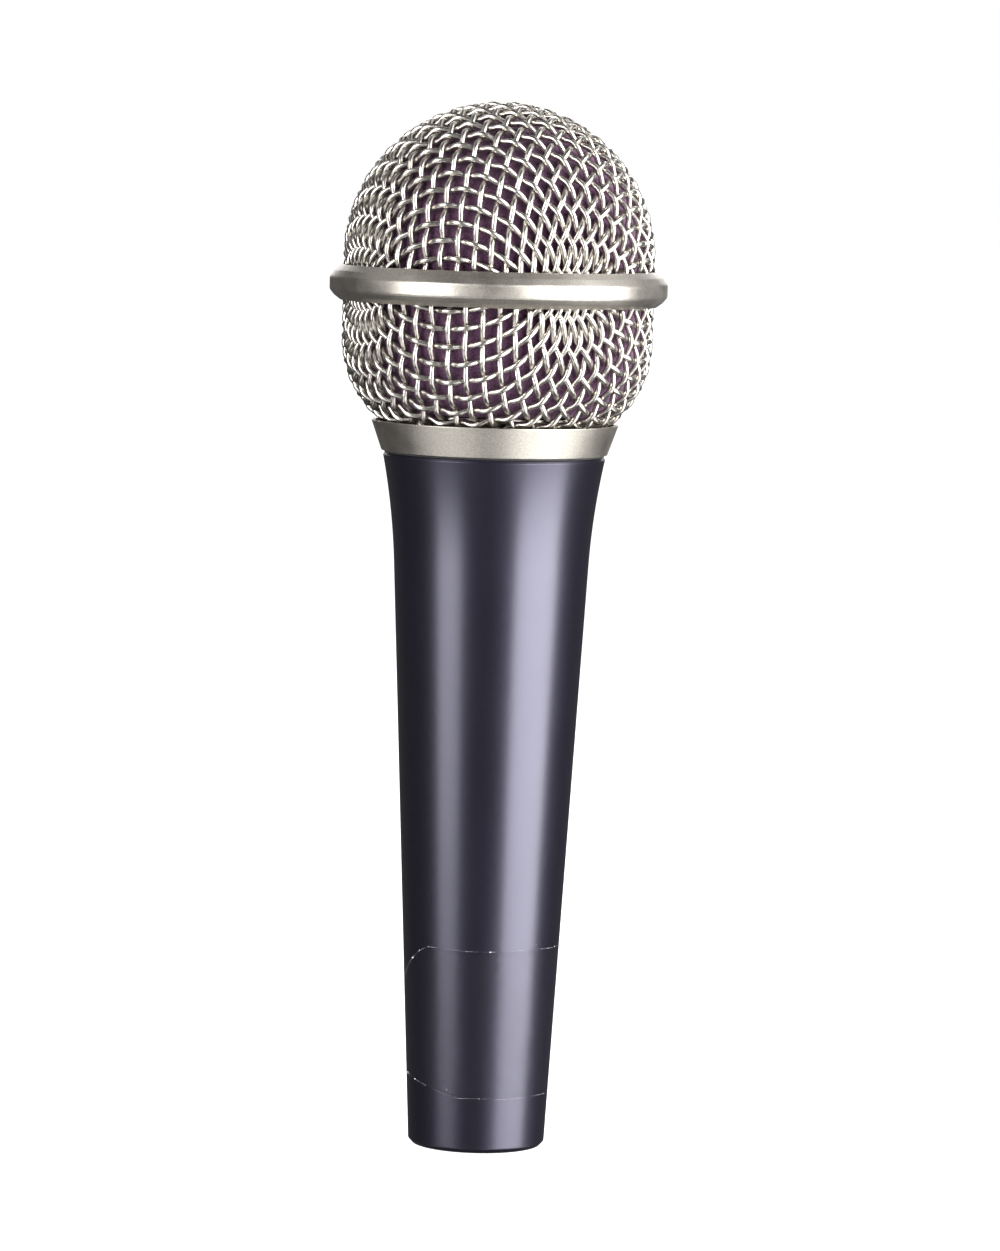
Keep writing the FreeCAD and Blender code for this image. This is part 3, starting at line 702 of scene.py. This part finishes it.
def tape_wrap(material, edge_material):
    """The clear tape round the tail, with a light grey line along each of its edges."""
    gap, thick, steps, rows = TAPE_GAP, TAPE_THICKNESS, 180, 12
    verts, faces = [], []
    for k in range(steps):
        angle = 2 * math.pi * k / steps
        low, high = tape_foot(angle), tape_top(angle)
        heights = [low + (high - low) * n / rows for n in range(rows + 1)]
        verts += [around(angle, cone_radius(z) + gap, z) for z in heights]
        verts += [around(angle, cone_radius(z) + gap + thick, z) for z in reversed(heights)]
        ring = 2 * (rows + 1)
        start, following = k * ring, ((k + 1) % steps) * ring
        faces += [(start + n, following + n, following + (n + 1) % ring, start + (n + 1) % ring)
                  for n in range(ring)]
    wrap = new_piece("tape_wrap", verts, faces, material)
    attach(wrap, "handle")
    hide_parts("clear_tape")

    paths = []
    for height_at in (tape_top, tape_foot):
        angles = np.linspace(0, 2 * math.pi, 500)
        points = np.array([around(a, cone_radius(height_at(a)) + gap + thick, height_at(a)) for a in angles])
        normals = np.array([around(a, 1, 0) for a in angles])
        paths.append((points, normals))
    rims = tubes("tape_rims", paths, 0.03 * MM, edge_material, sides=6)
    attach(rims, "handle")


def tape_flecks(material):
    """Specks of dust caught along the tape's edges. A speck is (degrees from the front, millimetres above the
    edge, size in millimetres, length against height). Those in front are placed, and the rest are random."""
    rng = random.Random(11)
    sides = 7
    top = [
        (-60, 0, 0.17, 1.6),
        (-51, 0.1, 0.11, 1.0),
        (-41, 0, 0.05, 2.0),
        (-10, 0, 0.03, 4.0),
        (7, 0, 0.05, 4.0),
        (44, 0.8, 0.06, 0.8),
        (50, 0, 0.03, 6.0),
        (58, 0, 0.03, 6.0),
        (69, 0.1, 0.09, 1.4),
    ]
    foot = [
        (-75, 0, 0.20, 1.5),
        (-60, 0, 0.14, 1.2),
        (-46, 0, 0.05, 2.0),
        (-25, 0.8, 0.05, 0.8),
        (2, 0, 0.03, 3.0),
        (68, 0, 0.03, 4.0),
    ]
    for specks in (top, foot):
        for _ in range(9):
            specks.append((rng.uniform(85, 260), rng.gauss(0, 0.1), rng.uniform(0.04, 0.12), 1.5))
    verts, faces = [], []
    for height_at, specks in ((tape_top, top), (tape_foot, foot)):
        for degrees, off, size, length in specks:
            angle = FRONT + math.radians(degrees)
            height = height_at(angle) + off * MM
            start = len(verts)
            centre = Vector(around(angle, cone_radius(height) + 0.09 * MM, height))
            out, along = Vector(around(angle, 1, 0)), Vector(around(angle + math.pi / 2, 1, 0))
            for n in range(sides):
                turn = 2 * math.pi * n / sides
                reach = size * rng.uniform(0.6, 1.1) * MM
                spot = centre + along * reach * length * math.cos(turn)
                verts.append(spot + Vector((0, 0, reach * math.sin(turn))))
            verts.append(centre + out * 0.04 * MM)
            verts.append(centre - out * 0.04 * MM)
            for n in range(sides):
                m = (n + 1) % sides
                faces.append((start + n, start + m, start + sides))
                faces.append((start + m, start + n, start + sides + 1))
    piece = new_piece("tape_flecks", verts, faces, material)
    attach(piece, "handle")


def bending_copy(node, material):
    """A copy of a CAD node, given its own finish, that stands in for the node."""
    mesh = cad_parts[node].data.copy()
    mesh.materials.clear()
    mesh.materials.append(material)
    piece = bpy.data.objects.new(node + "_soft", mesh)
    bpy.context.scene.collection.objects.link(piece)
    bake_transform(piece)
    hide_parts(node)


def finish_cad_nodes(finishes):
    """Gives every CAD node that still shows its own finish."""
    for material, nodes in finishes:
        for node in nodes:
            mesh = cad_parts[node].data
            mesh.materials.clear()
            mesh.materials.append(material)


# ---------------------------------------------------------------- studio


def camera():
    """The camera stands level with the top of the ball and looks down a little, rolled so that the handle
    leans to the left."""
    data = bpy.data.cameras.new("camera")
    data.lens = 166.5
    data.sensor_width = 36
    data.clip_start, data.clip_end = 0.01, 20
    view = bpy.data.objects.new("camera", data)
    bpy.context.scene.collection.objects.link(view)
    place = Matrix.Translation((1.67 * MM, -920 * MM, 165.6 * MM))
    pitch = Matrix.Rotation(math.radians(90 - 5.1), 4, "X")
    roll = Matrix.Rotation(math.radians(1.55), 4, "Z")
    view.matrix_world = place @ pitch @ roll
    bpy.context.scene.camera = view


def softbox(name, azimuth, elevation, size, radiance):
    """A rectangular light aimed at the middle of the object, given its radiance. Azimuth 0 is the camera's
    side, and a positive one is to its right."""
    data = bpy.data.lights.new(name, "AREA")
    data.shape = "RECTANGLE"
    data.size, data.size_y = size
    data.energy = radiance * math.pi * size[0] * size[1]
    light = bpy.data.objects.new(name, data)
    bpy.context.scene.collection.objects.link(light)
    angle, lift = math.radians(azimuth), math.radians(elevation)
    way = Vector((math.sin(angle) * math.cos(lift), -math.cos(angle) * math.cos(lift), math.sin(lift)))
    target = Vector((0, 0, 0.5 * LENGTH))
    facing = way.to_track_quat("Z", "Y").to_matrix().to_4x4()
    light.matrix_world = Matrix.Translation(target + way * LIGHT_DISTANCE) @ facing
    light.visible_camera = False


def clear_from_below(shader):
    """Makes a surface clear when it is seen from its back, so that it hides nothing above it."""
    side = shader.nodes.new("ShaderNodeNewGeometry")
    clear = shader.nodes.new("ShaderNodeBsdfTransparent")
    mix = shader.nodes.new("ShaderNodeMixShader")
    shader.links.new(side.outputs["Backfacing"], mix.inputs["Fac"])
    shader.links.new(shader.surface.outputs["BSDF"], mix.inputs[1])
    shader.links.new(clear.outputs["BSDF"], mix.inputs[2])
    shader.links.new(mix.outputs["Shader"], shader.nodes["Material Output"].inputs["Surface"])


def studio():
    """A white table, a white surround that only the camera sees, and softboxes."""
    bpy.context.scene.view_settings.view_transform = "Standard"
    white = (1, 1, 1, 1)
    floor_shader = Shader("floor_white", (0.35, 0.35, 0.35), 0.9, Emission_Color=white, Emission_Strength=1.1)
    floor_shader.spread("Roughness", floor_shader.noise(0.2), 0.85, 0.95)
    clear_from_below(floor_shader)
    size = 6.0
    drop = -0.2 * MM
    verts = [(-size, -size, drop), (size, -size, drop), (size, size, drop), (-size, size, drop)]
    floor = new_piece("floor", verts, [(0, 1, 2, 3)], floor_shader.material, smooth=False)
    floor.visible_glossy = False
    floor.visible_shadow = False

    world = bpy.data.worlds.new("studio")
    bpy.context.scene.world = world
    world.use_nodes = True
    nodes, links = world.node_tree.nodes, world.node_tree.links
    background = nodes["Background"]
    seen = nodes.new("ShaderNodeBackground")
    seen.inputs["Color"].default_value = white
    background.inputs["Color"].default_value = (0.07, 0.068, 0.07, 1)
    mix = nodes.new("ShaderNodeMixShader")
    path = nodes.new("ShaderNodeLightPath")
    links.new(path.outputs["Is Camera Ray"], mix.inputs["Fac"])
    links.new(background.outputs["Background"], mix.inputs[1])
    links.new(seen.outputs["Background"], mix.inputs[2])
    links.new(mix.outputs["Shader"], nodes["World Output"].inputs["Surface"])

    softbox("left_softbox", -50, 14.5, (0.46, 0.93), 8.0)
    softbox("right_softbox", 57, 13, (0.88, 1.05), 12.3)
    softbox("left_bounce", -55, -44, (0.80, 0.26), 2.2)
    softbox("right_bounce", 62, -42, (1.20, 0.35), 2.8)
    softbox("front_bounce", 0, -42, (0.50, 0.30), 0.4)
    softbox("high_left", -120, 52, (0.50, 0.40), 0.6)
    softbox("high_right", 120, 52, (0.60, 0.50), 1.0)
    softbox("back_softbox", 180, 25, (0.60, 0.50), 3)


# ---------------------------------------------------------------- making

camera()
studio()

wire_finish = wire()
foam_finish = foam()
paint_finish = paint()
nickel_finish = nickel()
black_plastic = plastic("black_plastic", (0.010, 0.010, 0.011))
rubber = plastic("soft_rubber", (0.012, 0.012, 0.012), roughness=0.75, grain=0.5)
cap_finish = plastic("cap_metal", (0.018, 0.018, 0.02), roughness=0.38)
board = plastic("board_brown", (0.22, 0.10, 0.04), roughness=0.45, grain=0.8)
yellow_lead = plastic("lead_yellow", (0.62, 0.42, 0.05), roughness=0.35, grain=0.6, depth=3e-6)
green_lead = plastic("lead_green", (0.04, 0.27, 0.10), roughness=0.35, grain=0.6, depth=3e-6)
contact_finish = metal("contact_metal", (0.80, 0.77, 0.70), 0.22)
steel = metal("plated_steel", (0.66, 0.66, 0.64), 0.28, stretch=(1, 1, 6))
screw_steel = metal("fastener_steel", (0.42, 0.42, 0.43), 0.35)
brass = metal("spring_brass", (0.72, 0.55, 0.28), 0.3)
copper = metal("coil_copper", (0.72, 0.36, 0.20), 0.3, grain=0.1, stretch=(1, 1, 12))
aluminium = metal("ring_aluminium", (0.78, 0.78, 0.79), 0.3)
magnet_finish = metal("magnet_metal", (0.20, 0.20, 0.21), 0.45)
felt = cloth("grey_felt", (0.18, 0.18, 0.18), thread=0.35)
screen = cloth("screen_cloth", (0.07, 0.065, 0.065), thread=0.3)
membrane = film("thin_film", (0.72, 0.62, 0.42), 0.65)
tape = film("clear_film", (0.02, 0.02, 0.025), 0.03, roughness=0.30)
tape_edge = grey_edge_line("tape_edge", (0.55, 0.55, 0.58))
dust = plastic("dust_white", (0.82, 0.82, 0.80), roughness=0.8)

woven_ball(wire_finish)
band_and_collar(nickel_finish)
handle_skin(paint_finish)
foam_pieces(foam_finish)
neck_thread(paint_finish)
tape_wrap(tape, tape_edge)
tape_flecks(dust)
for lead, colour in (("lead_wire_hot", yellow_lead), ("lead_wire_cold", green_lead)):
    bending_copy(lead, colour)

finish_cad_nodes([
    (nickel_finish, ["band_hoop", "mesh_clamp_ring"]),
    (black_plastic, ["connector_insert", "carrier_sleeve", "capsule_housing"]),
    (rubber, ["shock_mount_upper", "shock_mount_lower", "collar_gasket"]),
    (contact_finish, ["contact_pin_1", "contact_pin_2", "contact_pin_3"]),
    (screw_steel, ["connector_screw"]),
    (brass, ["ground_clip", "solder_tags"]),
    (steel, ["yoke", "pole_piece", "top_plate"]),
    (magnet_finish, ["magnet"]),
    (felt, ["damping_felt"]),
    (membrane, ["diaphragm", "diaphragm_surround"]),
    (copper, ["voice_coil"]),
    (aluminium, ["diaphragm_ring"]),
    (cap_finish, ["protective_cap"]),
    (screen, ["cap_screen", "rear_port_screen"]),
    (board, ["terminal_board"]),
])
